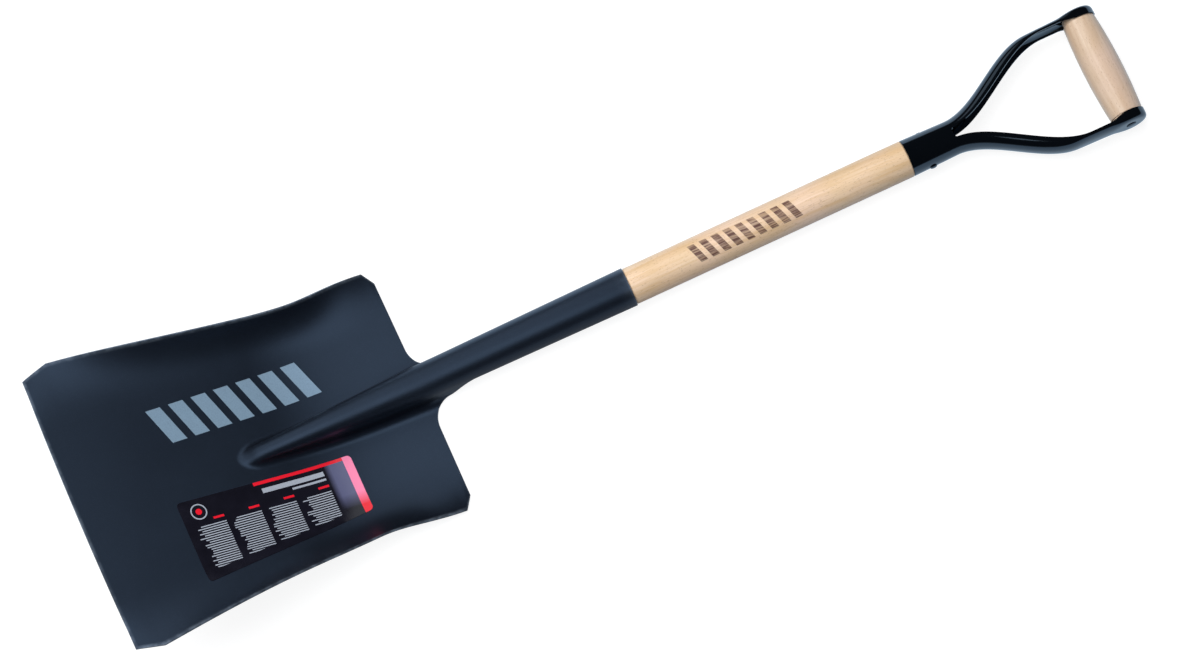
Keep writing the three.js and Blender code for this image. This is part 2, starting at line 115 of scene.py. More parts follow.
# Adds a node to the tree of the sockets that feed it, or to the one named
def addNode(kind, values, tree=None, **settings):
    sockets = {key: value for key, value in values.items() if isinstance(value, bpy.types.NodeSocket)}
    made = (tree or next(iter(sockets.values())).id_data).nodes.new(kind)
    for key, value in settings.items():
        setattr(made, key, value)
    for key, value in values.items():
        if key in sockets:
            link(value, made.inputs[key])
        else:
            made.inputs[key].default_value = value
    return made


def output(kind, values, tree=None, **settings):
    return addNode(kind, values, tree, **settings).outputs[0]


def calc(operation, *values):
    return output("ShaderNodeMath", dict(enumerate(values)), operation=operation)


def product(*values):
    return reduce(lambda left, right: calc("MULTIPLY", left, right), values)


def either(*masks):
    return reduce(lambda left, right: calc("MAXIMUM", left, right), masks)


def below(value, limit):
    return calc("LESS_THAN", value, limit)


def within(value, low, high):
    return product(below(low, value), below(value, high))


def reachOf(first, second):
    return calc("SQRT", calc("MULTIPLY_ADD", first, first, product(second, second)))


def split(vector):
    return addNode("ShaderNodeSeparateXYZ", {0: vector}).outputs


def combine(values):
    return output("ShaderNodeCombineXYZ", values)


def addVectors(first, second):
    return output("ShaderNodeVectorMath", {0: first, 1: second}, operation="ADD")


def coordinates(tree, kind="Object"):
    return addNode("ShaderNodeTexCoord", {}, tree).outputs[kind]


# Places on a sheet's flat map, in metres: along the blade and across it
def sheetPlaces(tree):
    return split(output("ShaderNodeUVMap", {}, tree, uv_map="sheetMap"))[:2]


def blendColours(share, first, second):
    return addNode("ShaderNodeMix", {0: share, 6: first, 7: second}, data_type="RGBA").outputs[2]


# Lays colours over a first one, each by its share
def layered(colour, *layers):
    for share, over in layers:
        colour = blendColours(share, colour, over)
    return colour


def ramp(value, low, high, start=0.0, end=1.0):
    inputs = {"Value": value, "From Min": low, "From Max": high, "To Min": start, "To Max": end}
    return output("ShaderNodeMapRange", inputs, clamp=True)


def noise(place, scale, detail, stretch=(1, 1, 1)):
    mapped = output("ShaderNodeMapping", {"Vector": place, "Scale": stretch})
    return output("ShaderNodeTexNoise", {"Vector": mapped, "Scale": scale, "Detail": detail})


def newMaterial(name, settings):
    material = bpy.data.materials.new(name)
    material.use_nodes = True
    tree = material.node_tree
    shader = tree.nodes["Principled BSDF"]
    for key, value in settings.items():
        shader.inputs[key].default_value = value
    return material, tree, shader


def dress(shader, look, colour, rough, height):
    strength, depth = look["relief"]
    normal = output("ShaderNodeBump", {"Height": height, "Strength": strength, "Distance": depth})
    for key, value in (("Base Color", colour), ("Roughness", rough), ("Normal", normal)):
        link(value, shader.inputs[key])


# A row of slanted bars: its run along and its reach across are in metres
def slantedBars(along, across, look):
    share = ramp(calc("MULTIPLY_ADD", across, look["slant"], along), *look["run"])
    bar = below(calc("FRACT", product(share, look["bars"])), look["fill"])
    return product(bar, within(across, *look["reach"]), within(share, *betweenEnds))


# Finishes. A noise is given by its scale, detail and stretch, and a range by two of its values and what
# they become. A relief is a bump's strength and depth.
middleRange = (0.3, 0.7)
betweenEnds = (0.001, 0.999)

bladePaint = {
    "shader": {"Specular IOR Level": 1.0, "Specular Tint": (0.45, 0.65, 1.0, 1.0)},
    "dark": tone(9, 10, 14),
    "light": tone(11, 13, 18),
    "speck": tone(30, 37, 48),
    "edgeColour": tone(88, 96, 106),
    "clouds": (14, 4),
    "specks": (900, 2),
    "grit": (2600, 2),
    "patches": (120, 5),
    "speckRange": (0.5, 0.75, 0, 0.35),
    "patchRange": (0.42, 0.62, 0.35, 1),
    "rough": (0.38, 0.44),
    "rubbedSmooth": 0.1,
    "speckHeight": 0.6,
    "gritHeight": 0.4,
    "relief": (0.35, 0.00012),
}

# The stripes on the face, on the sheet's map
bandLook = {
    "run": (0.074, 0.236),
    "reach": (0.037, 0.074),
    "slant": -0.35,
    "bars": 7,
    "fill": 0.64,
    "cover": (0.25, 0.6, 0.82, 1),  # by the paint's specks
    "colour": tone(118, 140, 158),
}


def makeBladePaint(look, band):
    material, tree, shader = newMaterial("bladePaint", look["shader"])
    place = coordinates(tree)
    cloud = noise(place, *look["clouds"])
    speck = noise(place, *look["specks"])
    grit = noise(place, *look["grit"])
    # Painted stripes, on the face alone
    onFace = below(0, split(coordinates(tree, "Normal"))[2])
    stripes = product(slantedBars(*sheetPlaces(tree), band), onFace, ramp(speck, *band["cover"]))
    # Bare steel just shows on the sheet's cut edges
    worn = addNode("ShaderNodeAttribute", {}, tree, attribute_name="edgeWear").outputs["Fac"]
    rub = product(worn, ramp(noise(place, *look["patches"]), *look["patchRange"]))
    paint = layered(
        look["dark"],
        (ramp(cloud, *middleRange), look["light"]),
        (ramp(speck, *look["speckRange"]), look["speck"]),
        (stripes, band["colour"]),
        (rub, look["edgeColour"]),
    )
    rough = ramp(cloud, *middleRange, *look["rough"])
    rough = calc("SUBTRACT", rough, product(rub, look["rubbedSmooth"]))
    speckled = product(speck, look["speckHeight"])
    height = calc("ADD", speckled, product(grit, look["gritHeight"]))
    dress(shader, look, paint, rough, height)
    return material


beechLook = {
    "shader": {
        "Specular IOR Level": 0.7,
        "Coat Weight": 0.15,
        "Coat Roughness": 0.25,
        "Sheen Weight": 0.3,
        "Sheen Roughness": 0.45,
    },
    "light": tone(240, 212, 182),
    "shade": tone(216, 180, 134),
    "blush": tone(243, 212, 194),
    "streak": tone(218, 178, 128),
    "fleck": tone(164, 120, 84),
    "wander": 0.02,
    "wandering": (5, 2),
    "blushes": (16, 2),
    "noises": {
        "figure": (1, 4, (7, 110, 110)),
        "streaks": (1, 3, (15, 420, 420)),
        "fibres": (1, 3, (70, 1900, 1900)),
        "flecks": (1, 2, (330, 1500, 1500)),
    },
    # What is laid over the light wood, in this order: a noise's range and the colour
    "layers": {
        "figure": (0.3, 0.68, 0, 1, "shade"),
        "blushes": (0.45, 0.7, 0, 0.55, "blush"),
        "streaks": (0.44, 0.64, 0, 0.5, "streak"),
        "fibres": (0.45, 0.75, 0, 0.3, "shade"),
        "flecks": (0.62, 0.7, 0, 0.6, "fleck"),
    },
    "rough": (0.38, 0.55),
    "fleckDepth": 0.5,
    "relief": (0.3, 0.00008),
}

gripLook = dict(
    beechLook,
    light=tone(230, 207, 184),
    shade=tone(208, 177, 146),
    blush=tone(234, 207, 193),
    streak=tone(206, 172, 140),
    layers=dict(beechLook["layers"], streaks=(0.44, 0.64, 0, 0.35, "streak")),
)

# The burned bars, along the shaft and round it
burnLook = {
    "run": (0.066, 0.176),
    "reach": (-0.0125, 0.0075),
    "slant": 0.35,
    "bars": 9,
    "fill": 0.58,
    "grain": (1, 3, (42, 760, 760)),
    "depth": (0.4, 0.6, 0.98, 0.5),  # by the grain
    "colour": tone(88, 50, 42),
}


def makeBeech(name, look, grainTurn, burn=None):
    material, tree, shader = newMaterial(name, look["shader"])
    place = coordinates(tree)
    grain = output("ShaderNodeMapping", {"Vector": place, "Rotation": (0, 0, grainTurn)})
    wander = product(noise(grain, *look["wandering"]), look["wander"])
    shifted = addVectors(grain, combine({1: wander}))
    noises = {key: noise(shifted, *settings) for key, settings in look["noises"].items()}
    noises["blushes"] = noise(place, *look["blushes"])

    layers = [(ramp(noises[key], *share), look[colour]) for key, (*share, colour) in look["layers"].items()]
    if burn:
        layers.append((burnMask(place, burn, noise(shifted, *burn["grain"])), burn["colour"]))
    rough = ramp(noises["fibres"], *middleRange, *look["rough"])
    sunk = product(noises["flecks"], look["fleckDepth"])
    height = calc("SUBTRACT", noises["fibres"], sunk)
    dress(shader, look, layered(look["light"], *layers), rough, height)
    return material


# The burned band round part of the shaft, whose tone follows the grain
def burnMask(place, burn, grain):
    part = split(addVectors(place, tuple(-placeInRow.translation)))
    angle = calc("ARCTAN2", part[1], part[2])
    arc = product(angle, shaftSizes["radius"] * millimetre)
    bars = slantedBars(part[0], arc, burn)
    return product(bars, ramp(grain, *burn["depth"]))


enamelLook = {
    "shader": {"Specular IOR Level": 0.8, "Specular Tint": (0.62, 0.8, 1.0, 1.0)},
    "dark": tone(2, 3, 4),
    "light": tone(4, 5, 7),
    "clouds": (30, 3),
    "waves": (160, 2),
    "dust": (1400, 2),
    "dustRough": (0.35, 0.75, 0.06, 0.14),
    "dustHeight": 0.1,
    "relief": (0.12, 0.0002),
}


def makeEnamel(look):
    material, tree, shader = newMaterial("yokeEnamel", look["shader"])
    place = coordinates(tree)
    cloud = noise(place, *look["clouds"])
    dust = noise(place, *look["dust"])
    colour = blendColours(ramp(cloud, *middleRange), look["dark"], look["light"])
    rough = ramp(dust, *look["dustRough"])
    wave = noise(place, *look["waves"])
    height = calc("ADD", wave, product(dust, look["dustHeight"]))
    dress(shader, look, colour, rough, height)
    return material


# Mesh work
def followChain(height, chain):
    across, heading = 0.0, 0.0
    points = [(across, height)]
    for length, turn, steps in chain:
        for _ in range(steps):
            part = length / steps
            bend = turn / steps
            chord = part * math.sin(bend / 2) / (bend / 2) if bend else part
            across += chord * math.cos(heading + bend / 2)
            height += chord * math.sin(heading + bend / 2)
            heading += bend
            points.append((across, height))
    return np.array(points)


def pointNormals(points, quads):
    keys = np.round(points / sameWithin).astype(np.int64)
    _, shared = np.unique(keys, axis=0, return_inverse=True)
    shared = shared.reshape(-1)
    corners = points[quads]
    faceNormals = np.cross(corners[:, 2] - corners[:, 0], corners[:, 3] - corners[:, 1])
    sums = np.zeros((shared.max() + 1, 3))
    for corner in range(4):
        np.add.at(sums, shared[quads[:, corner]], faceNormals)
    normals = sums[shared]
    return normals / np.linalg.norm(normals, axis=1)[:, None]


# A sheet between two skins over grids that are all as wide, closed round its edges. Its first rows can
# close to a tube, and then have no side edges.
def sheetMesh(name, grids, upper, lower, maps=None, wear=None, tubeRows=0, closedEnd=False):
    width = len(grids[0][0])
    points = np.concatenate([np.array(rows).reshape(-1, 3) for rows in grids])
    quads, rims, start = [], [], 0
    total = len(points)
    for rows in grids:
        count = len(rows)
        for row in range(1, count):
            for column in range(1, width):
                here = start + row * width + column
                quads.append((here - width - 1, here - width, here, here - 1))
        last = start + (count - 1) * width
        for column in range(1, width):
            rims.append((start + column - 1, start + column))
            if not closedEnd:
                rims.append((last + column, last + column - 1))
        for row in range(tubeRows + 1, count):
            here = start + row * width
            rims.append((here, here - width))
            rims.append((here - 1, here + width - 1))
        start += count * width
    quads = np.array(quads)
    normals = pointNormals(points, quads)
    vertices = np.concatenate([points + normals * upper, points + normals * lower])
    faces = [tuple(quad) for quad in quads]
    faces += [tuple(total + index for index in reversed(quad)) for quad in quads]
    faces += [(first, total + first, total + second, second) for first, second in rims]

    mesh = bpy.data.meshes.new(name)
    mesh.from_pydata(vertices.tolist(), [], faces)
    if maps is not None:
        flat = np.concatenate([maps, maps])
        layer = mesh.uv_layers.new(name="sheetMap")
        index = np.zeros(len(mesh.loops), np.int32)
        mesh.loops.foreach_get("vertex_index", index)
        layer.data.foreach_set("uv", flat[index].astype(np.float32).ravel())
    if wear is not None:
        attribute = mesh.attributes.new("edgeWear", "FLOAT", "POINT")
        attribute.data.foreach_set("value", np.concatenate([wear, wear]).astype(np.float32))
    return mesh


# Merges doubles, faces the mesh outward, and keeps its edges sharp past an angle
def tidyMesh(mesh, mergeWithin=0.0005, sharpAngle=38 * degree):
    work = bmesh.new()
    work.from_mesh(mesh)
    bmesh.ops.remove_doubles(work, verts=work.verts, dist=mergeWithin)
    bmesh.ops.dissolve_degenerate(work, edges=work.edges, dist=mergeWithin)
    bmesh.ops.recalc_face_normals(work, faces=work.faces)
    openEdges = [edge for edge in work.edges if len(edge.link_faces) != 2]
    for face in work.faces:
        face.smooth = True
    for edge in work.edges:
        edge.smooth = len(edge.link_faces) == 2 and edge.calc_face_angle() < sharpAngle
    work.to_mesh(mesh)
    volume = work.calc_volume() / 1000
    work.free()
    print(f"  {mesh.name}: {len(mesh.polygons)} faces, {len(openEdges)} open edges, {volume:.2f} cm3")
    return mesh


def addObject(name, data):
    made = bpy.data.objects.new(name, data)
    scene.collection.objects.link(made)
    return made


# Runs modifiers on a mesh and returns a plain mesh of what they make
def applied(mesh, setUp):
    helper = addObject(mesh.name, mesh)
    setUp(helper)
    evaluated = helper.evaluated_get(bpy.context.evaluated_depsgraph_get())
    made = bpy.data.meshes.new_from_object(evaluated)
    helper.modifiers.clear()
    bpy.data.objects.remove(helper)
    made.name = mesh.name
    return made


def softenEdges(mesh, width, steps=2, angle=50 * degree):
    def setUp(helper):
        bevel = helper.modifiers.new("softEdges", "BEVEL")
        bevel.width = width
        bevel.segments = steps
        bevel.limit_method = "ANGLE"
        bevel.angle_limit = angle
        bevel.use_clamp_overlap = True

    return applied(mesh, setUp)


def addPiece(name, mesh, material, slot, *nodes):
    mesh.name = name
    mesh.transform(placeInRow)
    mesh.materials.clear()
    mesh.materials.append(material)
    piece = addObject(name, mesh)
    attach(piece, "root")
    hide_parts(*nodes)


# Blade, rib, neck and socket: one pressed sheet
bladeSizes = {
    "sheet": 1.8,
    "length": 350.8,
    "rearHalf": 125.8,
    "mouthHalf": 147.9,
    "floorShare": 0.55,
    "wingTurn": 62 * degree,
    "wingRiseShare": 0.28,
    "wingPeakShare": 0.33,
    "wingFade": 0.75,
    "heelFlat": 45.0,
    "heelBendRadius": 240.0,
    "lift": 23.5 * degree,
    "mouthBow": 2.0,
    "mouthBowShare": 0.3,
    "mouthCornerAlong": 24.0,
    "mouthCornerAcross": 10.0,
    "rearCornerAlong": 8.0,
    "rearCornerAcross": 12.5,
    "ribLength": 187.5,
    "ribNose": 18.0,
    "ribNoseOut": 3.0,  # how far the eased nose runs out past the rib's length
    "ribNoseFall": 1.6,
    "ribNoseNarrow": 0.6,
    "ribTipRadius": 7.0,
    "ribCrestRise": 3.7,
    "ribFoot": 11.0,
    "ribTipFoot": 8.0,
    "socketMouth": 19.1,
    "socketNeck": 17.3,
    "socketLength": 216.2,
    "filletAlong": 23.0,
    "filletEdge": 42.0,
    "flange": 0.35,
    "neckFoot": 6.0,
    "footShare": 0.75,
    "roll": 28.0,
    "seamGap": 0.6,
    "edgeSoft": 0.35,
    "wearReach": 2.5,  # how far the worn edge reaches in over the face
    "mouthCornerSteps": 8,
    "rearCornerSteps": 4,
    "archSteps": 12,
    "wallSteps": 2,
    "footSteps": 8,
    "floorSteps": 8,
    "wingSteps": 16,
    "frontSteps": 34,
    "noseSteps": 14,
    "ribSteps": 34,
    "heelSteps": 10,
    "filletSteps": 16,
    "rollSteps": 14,
    "socketSteps": 16,
    "rimStep": 1.0,  # between the last rows at the socket's mouth
}


def socketOutside(x):
    neckAt = bladeSizes["filletAlong"] - bladeSizes["socketLength"]
    return mix(bladeSizes["socketMouth"], bladeSizes["socketNeck"], clamp01(x / neckAt))


def makeBlade(sizes):
    tilted = overall["restTilt"]
    sheet, length = sizes["sheet"], sizes["length"]
    heelFlat, socketLength = sizes["heelFlat"], sizes["socketLength"]
    floorAtHeel = sheet / 2 - overall["heelDepth"]
    neckRadius = sizes["socketNeck"] - sheet / 2
    neckAt = sizes["filletAlong"] - socketLength
    tubeAt = neckAt + sizes["roll"]
    bendLength = sizes["heelBendRadius"] * (sizes["lift"] + tilted)
    outerSteps = sizes["footSteps"] + sizes["floorSteps"] + sizes["wingSteps"]
    evenShare = sizes["footSteps"] / outerSteps
    noseAt = sizes["ribLength"] - sizes["ribNose"]
    noseRun = sizes["ribNose"] + sizes["ribNoseOut"]

    def socketRadius(x):
        return socketOutside(x) - sheet / 2

    def floorPlace(distance):
        bend = clamp01((distance - heelFlat) / bendLength)
        tilt = mix(-tilted, sizes["lift"], bend)
        level = min(distance, heelFlat)
        straight = max(distance - heelFlat - bendLength, 0)
        radius = sizes["heelBendRadius"]
        x = overall["rearAt"] - level * math.cos(tilted) - straight * math.cos(tilt)
        x -= radius * (math.sin(tilt) + math.sin(tilted))
        z = floorAtHeel - level * math.sin(tilted) + straight * math.sin(tilt)
        z += radius * (math.cos(tilted) - math.cos(tilt))
        return tilt, x, z

    def blankHalf(distance):
        return mix(sizes["rearHalf"], sizes["mouthHalf"], distance / length)

    def wingTurn(distance):
        share = distance / length
        rise = math.sin(clamp01(share / sizes["wingRiseShare"]) * quarterTurn)
        past = clamp01((share - sizes["wingPeakShare"]) / (1 - sizes["wingPeakShare"]))
        return sizes["wingTurn"] * rise * (1 - past * past) ** sizes["wingFade"]

    def trimmedHalf(distance):
        rearCut = sizes["rearCornerAcross"] * clamp01(1 - distance / sizes["rearCornerAlong"])
        fromMouth = length - distance
        mouthCut = sizes["mouthCornerAcross"] * clamp01(1 - fromMouth / sizes["mouthCornerAlong"])
        return blankHalf(distance) - rearCut - mouthCut

    # One whole row from its right half: its points, and their places on the sheet's flat map, which takes
    # the rib as flat and unrolls the wings
    def wholeRow(half, place, mapAt, fromEnd, forward=lambda across: 0.0):
        tilt, x, z = place
        along = np.array([-math.cos(tilt), 0, math.sin(tilt)])
        up = np.array([math.sin(tilt), 0, math.cos(tilt)])
        run = np.concatenate([[0], np.cumsum(np.linalg.norm(np.diff(half, axis=0), axis=1))])
        floorEnd = len(half) - 1 - sizes["wingSteps"]
        spread = np.where(run > run[floorEnd], half[floorEnd][0] + run - run[floorEnd], half[:, 0])
        row, flat = [], []
        for side, order in ((-1, range(len(half) - 1, 0, -1)), (1, range(len(half)))):
            for i in order:
                across, height = half[i]
                point = np.array([x, side * across, z]) + up * height + along * forward(across)
                row.append(point)
                flat.append((mapAt * millimetre, side * spread[i] * millimetre))
        wear = [max(0.0, 1 - min(reach, abs(fromEnd)) / sizes["wearReach"]) for reach in run[-1] - run]
        return row, flat, wear[:0:-1] + wear

    def bladeRow(distance):
        share = clamp01(distance / sizes["ribLength"])
        place = floorPlace(distance)
        crest = neckRadius + sizes["ribCrestRise"] * share
        nose = clamp01((distance - noseAt) / noseRun)
        narrow = 1 - sizes["ribNoseNarrow"] * nose * nose
        crown = mix(neckRadius, sizes["ribTipRadius"], share) * narrow
        foot = mix(sizes["ribFoot"], sizes["ribTipFoot"], share) * narrow
        height = max(crest - place[2], 0) / math.cos(place[0])
        height *= (1 - nose * nose) ** sizes["ribNoseFall"]
        halfWidth = crown + foot
        turn = min(2 * math.atan(height / halfWidth), quarterTurn)
        stretch = turn / math.sin(turn) if turn else 1
        floorHalf = blankHalf(distance) * sizes["floorShare"]
        reach = trimmedHalf(distance)
        half = followChain(height, [
            (crown * stretch, -turn, sizes["archSteps"]),
            (max(height - halfWidth, 0), 0, sizes["wallSteps"]),
            (foot * stretch, turn, sizes["footSteps"]),
            (floorHalf - halfWidth, 0, sizes["floorSteps"]),
            (reach - floorHalf, wingTurn(distance), sizes["wingSteps"]),
        ])
        bowRun = sizes["mouthBowShare"] * length
        fromEnd = length - distance
        bow = sizes["mouthBow"] * clamp01(1 - fromEnd / bowRun) ** 2
        return wholeRow(half, place, distance, fromEnd, lambda across: bow * (1 - (across / reach) ** 2))

    def neckDepth(x):
        share = ease((x + socketLength) / (tubeAt + socketLength))
        return mix(-floorAtHeel, socketRadius(tubeAt), share)

    def tubeRow(x, wall, links):
        radius = socketRadius(x)
        half = followChain(radius, [
            (radius * quarterTurn, -quarterTurn, sizes["archSteps"]),
            (wall, 0, sizes["wallSteps"]),
            *links,
        ])
        return wholeRow(half, (0.0, x, 0.0), -(x + socketLength), -x)

    def neckRow(x, edge):
        narrowing = ease((x + socketLength) / sizes["filletAlong"])
        foot = mix(sizes["ribFoot"], sizes["neckFoot"], narrowing)
        beside = edge - neckRadius
        turn = quarterTurn if beside > foot else math.acos(1 - beside / foot)
        flange = foot * turn + max(beside - foot, 0)
        bent = min(foot * turn, flange * mix(sizes["footShare"], evenShare, narrowing))
        middle = (flange - bent) * sizes["floorSteps"] / (sizes["floorSteps"] + sizes["wingSteps"])
        rest = flange - bent - middle

        def turnOf(run, before):
            return clamp01((foot * turn - before) / run) * run / foot

        return tubeRow(x, neckDepth(x) - foot * math.sin(turn), [
            (bent, bent / foot, sizes["footSteps"]),
            (middle, turnOf(middle, bent), sizes["floorSteps"]),
            (rest, turnOf(rest, bent + middle), sizes["wingSteps"]),
        ])

    def shutTurn(x):
        return quarterTurn - sizes["seamGap"] / 2 / socketRadius(x)

    def rolledRow(x, turn):
        radius = socketRadius(x)
        wall = max(neckDepth(x) - radius * math.sin(turn), 0)
        return tubeRow(x, wall, [(radius * turn, -turn, outerSteps)])

    cornerAt = length - sizes["mouthCornerAlong"]
    distances = stepsTo([length], cornerAt, sizes["mouthCornerSteps"])
    distances = stepsTo(distances, noseAt + noseRun, sizes["frontSteps"])
    distances += [noseAt + noseRun * math.cos(angle) for angle in quarterSteps(sizes["noseSteps"])]
    distances = stepsTo(distances, heelFlat, sizes["ribSteps"])
    distances = stepsTo(distances, sizes["rearCornerAlong"], sizes["heelSteps"])
    distances = stepsTo(distances, 0.0, sizes["rearCornerSteps"])
    rows = [bladeRow(distance) for distance in distances]
    for angle in quarterSteps(sizes["filletSteps"], 0):
        edge = mix(sizes["filletEdge"], neckRadius + sizes["flange"], math.sin(angle))
        rows.append(neckRow(-socketLength + sizes["filletAlong"] * (1 - math.cos(angle)), edge))
    for share in stepsTo([0.0], 1.0, sizes["rollSteps"])[1:]:
        x = mix(neckAt, tubeAt, share)
        rows.append(rolledRow(x, shutTurn(x) * share))
    rim = sizes["rimStep"]
    for x in stepsTo([tubeAt], -2 * rim, sizes["socketSteps"])[1:] + [-rim, 0.0]:
        rows.append(rolledRow(x, shutTurn(x)))
    grid, maps, wear = zip(*rows)
    maps, wear = np.concatenate(maps), np.concatenate(wear)
    mesh = sheetMesh("bladeBody", [grid], sheet / 2, -sheet / 2, maps, wear)
    return softenEdges(tidyMesh(mesh), sizes["edgeSoft"]), floorPlace, blankHalf, wingTurn


# Yoke: two half rings that join into the ferrule and part into the arms
yokeSizes = {
    "sheet": 1.6,
    "ferruleMouthAt": 287.5,
    "ferruleLength": 47.2,
    "ferruleMouth": 18.0,
    "ferruleThroat": 16.8,
    "cupRimAt": 51.4,
    "cupDepth": 10.0,
    "cupRadius": 17.0,
    "notchHalf": 5.0,
    "notchLength": 3.0,
    "outerSweep": 104.0,
    "innerSweep": 118.0,
    "armHalfHeight": 14.6,
    "backLead": 2.2,
    "settle": 1.1,  # the last of the arms' spread, near the grip
    "settleSweep": 45.0,
    "cupSweep": 20.0,
    "lipLift": 3.4,
    "armSquareness": 2.3,
    "cupSquareness": 6.0,
    "edgeSoft": 0.4,
    "outlineSamples": 400,
    "ringSteps": 44,
    "ferruleSteps": 12,
    "notchSteps": 10,
    "armSteps": 64,
    "cupSteps": 18,
    "fanSteps": 16,
}


def ferruleRadius(x):
    share = clamp01((x - yokeSizes["ferruleMouthAt"]) / yokeSizes["ferruleLength"])
    return mix(yokeSizes["ferruleMouth"], yokeSizes["ferruleThroat"], share)


# Even points round half of a rounded outline, from its upper lip round the back to its lower lip
def halfOutline(depth, height, squareness, cutBack, steps):
    lipAngle = math.acos((cutBack / depth) ** (squareness / 2))
    angles = np.linspace(0, lipAngle, yokeSizes["outlineSamples"])
    across = depth * np.cos(angles) ** (2 / squareness)
    rise = height * np.sin(angles) ** (2 / squareness)
    across[-1] = cutBack
    run = np.concatenate([[0], np.cumsum(np.hypot(np.diff(across), np.diff(rise)))])
    places = np.linspace(0, run[-1], steps // 2 + 1)
    across, rise = np.interp(places, run, across), np.interp(places, run, rise)
    return np.concatenate([across[::-1], across[1:]]), np.concatenate([rise[::-1], -rise[1:]])


def makeYoke(sizes):
    forkAt = sizes["ferruleMouthAt"] + sizes["ferruleLength"]
    gripAt = overall["gripAt"]
    cupFaceAt = sizes["cupRimAt"] + sizes["cupDepth"]

    def yokeRow(x, fan, side):
        beyond = x - forkAt
        back = ease((beyond + sizes["backLead"]) / sizes["outerSweep"])
        settled = ease((x - gripAt + sizes["settleSweep"]) / sizes["settleSweep"])
        opening = ease(beyond / sizes["innerSweep"])
        swell = ease((x - gripAt + sizes["cupSweep"]) / sizes["cupSweep"])
        notch = clamp01(beyond / sizes["notchLength"])
        cutBack = sizes["notchHalf"] * math.sqrt(1 - (1 - notch) ** 2) * (1 - opening)
        middle = mix(mix(0.0, sizes["cupRimAt"] + sizes["lipLift"], opening), sizes["cupRimAt"], swell)
        outer = mix(ferruleRadius(x), cupFaceAt - sizes["settle"] * (1 - settled), back)
        slim = ease(beyond / (sizes["outerSweep"] / 2))
        height = mix(mix(ferruleRadius(x), sizes["armHalfHeight"], slim), sizes["cupRadius"], swell)
        squareness = mix(mix(2, sizes["armSquareness"], slim), sizes["cupSquareness"], swell)
        across, rise = halfOutline(outer - middle, height, squareness, cutBack, sizes["ringSteps"])
        points = []
        for y, z in zip(across, rise):
            flatZ = 0.0 if fan == quarterTurn else z * math.cos(fan)
            points.append((x + abs(z) * math.sin(fan), side * (middle + y), flatZ))
        return points

    ferrule = stepsTo([sizes["ferruleMouthAt"]], forkAt, sizes["ferruleSteps"])
    angles = quarterSteps(sizes["notchSteps"])
    arm = [forkAt + sizes["notchLength"] * (1 - math.cos(angle)) for angle in angles]
    arm = stepsTo(arm, gripAt - sizes["cupSweep"], sizes["armSteps"])
    arm = stepsTo(arm, gripAt, sizes["cupSteps"])
    halves = []
    for side in (1, -1):
        rows = [yokeRow(x, 0, side) for x in ferrule + arm]
        rows += [yokeRow(gripAt, fan, side) for fan in quarterSteps(sizes["fanSteps"])]
        halves.append([row[::-1] for row in rows] if side > 0 else rows)
    mesh = sheetMesh("yokeShell", halves, 0, -sizes["sheet"], tubeRows=len(ferrule) - 1, closedEnd=True)
    return softenEdges(tidyMesh(mesh), sizes["edgeSoft"])


def newTree(name, sockets):
    tree = bpy.data.node_groups.new(name, "GeometryNodeTree")
    for key, kind in sockets.items():
        tree.interface.new_socket(key, in_out="INPUT", socket_type="NodeSocket" + kind)
    tree.interface.new_socket("Made", in_out="OUTPUT", socket_type="NodeSocketGeometry")
    return tree, tree.nodes.new("NodeGroupInput").outputs


def finishTree(geometry, finish):
    plain = output("GeometryNodeRealizeInstances", {"Geometry": geometry})
    finished = output("GeometryNodeSetMaterial", {"Geometry": plain, "Material": finish})
    tree = finish.id_data
    link(finished, tree.nodes.new("NodeGroupOutput").inputs[0])
    return tree


def moved(geometry, place):
    return output("GeometryNodeSetPosition", {"Geometry": geometry, "Position": place})


def merged(geometry, distance):
    return output("GeometryNodeMergeByDistance", {"Geometry": geometry, "Distance": distance})


# A lathe: turns the outline held by the object's own points round the x axis
def makeLathe():
    sockets = {"Outline": "Geometry", "Facets": "Int", "Merge Within": "Float", "Finish": "Material"}
    tree, given = newTree("lathe", sockets)
    count = addNode("GeometryNodeAttributeDomainSize", {0: given["Outline"]}).outputs["Point Count"]
    around = calc("ADD", given["Facets"], 1)
    grid = output("GeometryNodeMeshGrid", {"Vertices X": around, "Vertices Y": count})
    index = output("GeometryNodeInputIndex", {}, tree)
    step = calc("FLOOR", calc("DIVIDE", calc("ADD", index, 0.5), count))
    onOutline = calc("SUBTRACT", index, product(step, count))
    sampled = {
        "Geometry": given["Outline"],
        "Value": output("GeometryNodeInputPosition", {}, tree),
        "Index": onOutline,
    }
    part = split(output("GeometryNodeSampleIndex", sampled, data_type="FLOAT_VECTOR"))
    angle = calc("DIVIDE", product(step, 2 * math.pi), given["Facets"])
    turned = combine({
        0: part[0],
        1: product(part[1], calc("SINE", angle)),
        2: product(part[1], calc("COSINE", angle)),
    })
    closed = merged(moved(grid, turned), given["Merge Within"])
    return finishTree(closed, given["Finish"])


